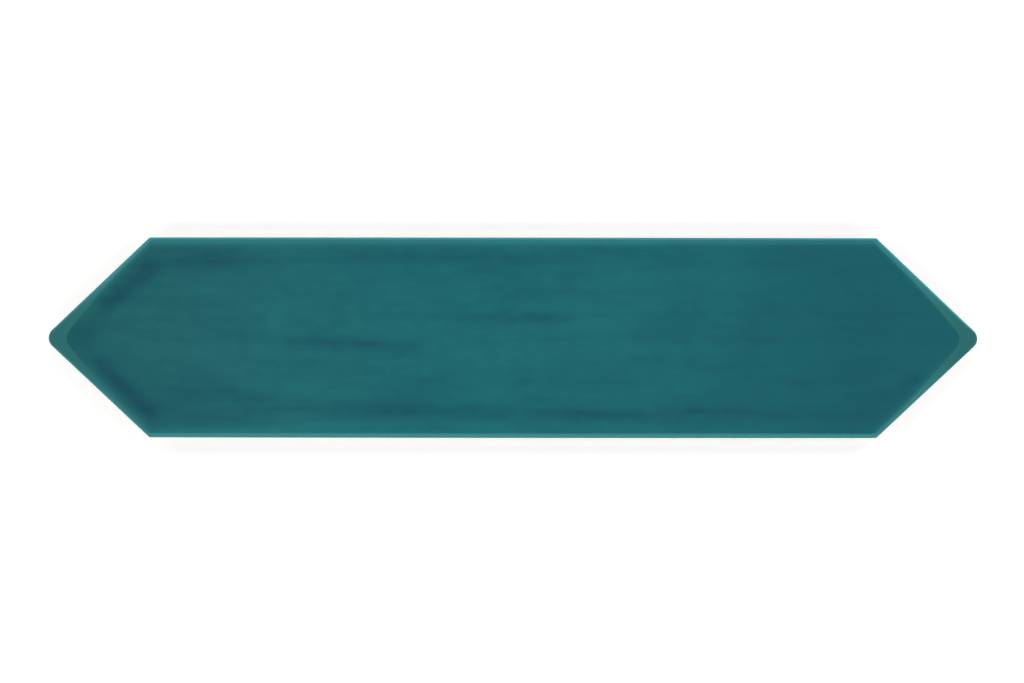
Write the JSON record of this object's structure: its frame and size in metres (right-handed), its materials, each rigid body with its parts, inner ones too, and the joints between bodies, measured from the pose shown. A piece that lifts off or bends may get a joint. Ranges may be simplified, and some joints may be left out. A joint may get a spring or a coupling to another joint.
{
  "type": "picket wall tile",
  "caption": "Long hexagonal wall tile pointed at both ends, for cladding walls: flat field inside a sloping rim, grooved back, glossy mottled teal glaze.",
  "frame": {"origin": "middle of the back, on the plane that the tile lies on", "axes": "+X along the length from point to point, +Y across the width, +Z out of the glazed face"},
  "size_m": [0.301, 0.065, 0.0085],
  "materials": {
    "teal_glaze": "glossy"
  },
  "bodies": {
    "root": {"picket_tile": "teal_glaze"}
  },
  "joints": []
}
